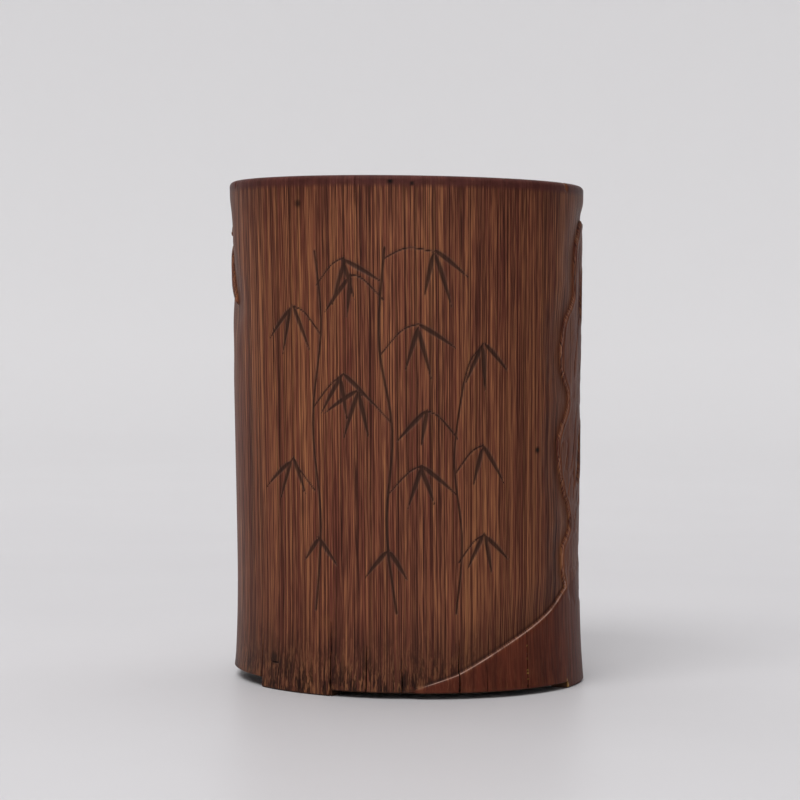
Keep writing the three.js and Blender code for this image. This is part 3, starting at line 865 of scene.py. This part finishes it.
def floor_material():
    """Pale paper, greyer near the pot, painted paler far off as painted light on the far floor and backdrop."""
    t = Tree("pale_floor")
    near = t.ramp(t.noise((9, 9, 9), 3.0, 0.5), FLOOR_NEAR)
    length = t.nodes.new("ShaderNodeVectorMath")
    length.operation = "LENGTH"
    t.links.new(t.place, length.inputs[0])
    # Painted light: the far floor and backdrop are painted paler than the floor near the pot.
    far = t.fit(length.outputs["Value"], *FLOOR_PAINTED_LIGHT_FADE)
    t.set(Base_Color=t.over(near, FLOOR_FAR_PAINTED_LIGHT, far), Roughness=0.42, Specular_IOR_Level=0.35)
    return t.material


def panel_material():
    t = Tree("matt_black")
    t.set(Base_Color=t.ramp(t.noise((4, 4, 4)), PANEL_BLACK), Roughness=0.95, Specular_IOR_Level=0.0)
    return t.material


def add_object(name, data):
    made = bpy.data.objects.new(name, data)
    bpy.context.collection.objects.link(made)
    return made


# The object.
wall = add_object("culm_wall_carved", wall_mesh())
wall.data.materials.append(bamboo_material())
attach(wall, "root")
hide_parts("culm_wall")


def finish_node(name, material):
    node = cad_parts[name]
    node.data.materials.clear()
    node.data.materials.append(material)


finish_node("floor_disc", hardwood_material())
lacquer = lacquer_material()
finish_node("upper_lacquer_fillet", lacquer)
finish_node("lower_lacquer_fillet", lacquer)

# The stage, in metres: a round floor that curves up into a wall on every side.
FLOOR_RADIUS = 1.3
COVE_RADIUS = 1.0
STAGE_HEIGHT = 2.4
STAGE_STEPS = 96


def stage():
    wall_radius = FLOOR_RADIUS + COVE_RADIUS
    cove = np.linspace(0.1, math.pi / 2, 18)
    profile = [(0.4, 0.0), (0.8, 0.0), (FLOOR_RADIUS, 0.0)]
    for a in cove:
        profile.append((FLOOR_RADIUS + COVE_RADIUS * math.sin(a), COVE_RADIUS - COVE_RADIUS * math.cos(a)))
    profile += [(wall_radius, 1.6), (wall_radius, STAGE_HEIGHT)]
    turns = [2 * math.pi * k / STAGE_STEPS for k in range(STAGE_STEPS)]
    vertices = [(0, 0, 0)]
    vertices += [(r * math.cos(turn), r * math.sin(turn), z) for r, z in profile for turn in turns]
    faces = [(0, 1 + k, 1 + (k + 1) % STAGE_STEPS) for k in range(STAGE_STEPS)]
    for ring in range(len(profile) - 1):
        a, b = 1 + ring * STAGE_STEPS, 1 + (ring + 1) * STAGE_STEPS
        for k in range(STAGE_STEPS):
            following = (k + 1) % STAGE_STEPS
            faces.append((a + k, b + k, b + following, a + following))
    mesh = bpy.data.meshes.new("studio_floor")
    mesh.from_pydata(vertices, [], faces)
    mesh.shade_smooth()
    mesh.materials.append(floor_material())
    floor = add_object("studio_floor", mesh)


stage()

# Dark panels at both sides, which only reflections and bounced light see, keep the flanks' colour deep.
PANEL_PLACES = [("left_panel", -0.85), ("right_panel", 0.8)]
PANEL_FRONT = -1.1
PANEL_BACK = 0.35
PANEL_HEIGHT = 0.8
for name, x in PANEL_PLACES:
    mesh = bpy.data.meshes.new(name)
    bottom = [(x, PANEL_FRONT, 0.0), (x, PANEL_BACK, 0.0)]
    top = [(x, PANEL_BACK, PANEL_HEIGHT), (x, PANEL_FRONT, PANEL_HEIGHT)]
    mesh.from_pydata(bottom + top, [], [(0, 1, 2, 3)])
    mesh.materials.append(panel_material())
    panel = add_object(name, mesh)
    panel.visible_camera = False
    panel.visible_shadow = False

# The lights: [name, place, target, width, height, power in watts].
LIGHTS = [
    ("top_softbox", (0.0, 0.45, 1.5), (0, 0.05, 0), 1.6, 1.4, 7.4),
    ("front_fill", (-0.55, -1.05, 1.65), (0, 0, 0.08), 1.1, 0.9, 23),
]
WORLD_COLOUR = (1.0, 0.995, 1.0, 1)
WORLD_STRENGTH = 0.575
for name, place, target, width, height, power in LIGHTS:
    data = bpy.data.lights.new(name, "AREA")
    data.shape = "RECTANGLE"
    data.size, data.size_y = width, height
    data.energy = power
    light = add_object(name, data)
    light.location = place
    light.rotation_euler = (Vector(target) - Vector(place)).to_track_quat("-Z", "Y").to_euler()

world = bpy.data.worlds.new("studio")
bpy.context.scene.world = world
world.use_nodes = True
background = world.node_tree.nodes["Background"]
background.inputs["Color"].default_value = WORLD_COLOUR
background.inputs["Strength"].default_value = WORLD_STRENGTH

# The camera, from the outline of the pot and its feet in the photograph.
CAMERA_PLACE = (-0.00257, -0.78179, 0.10869)
CAMERA_PITCH = 0.0297
CAMERA_ROLL = 0.0134
CAMERA_LENS = 113.32
CAMERA_SENSOR = 36
CAMERA_NEAR = 0.02
camera_data = bpy.data.cameras.new("camera")
camera_data.sensor_width = CAMERA_SENSOR
camera_data.lens = CAMERA_LENS
camera_data.clip_start = CAMERA_NEAR
camera = add_object("camera", camera_data)
turned = Matrix.Rotation(math.pi / 2 - CAMERA_PITCH, 4, "X") @ Matrix.Rotation(CAMERA_ROLL, 4, "Z")
camera.matrix_world = Matrix.Translation(CAMERA_PLACE) @ turned
bpy.context.scene.camera = camera

bpy.context.scene.view_settings.view_transform = "Standard"
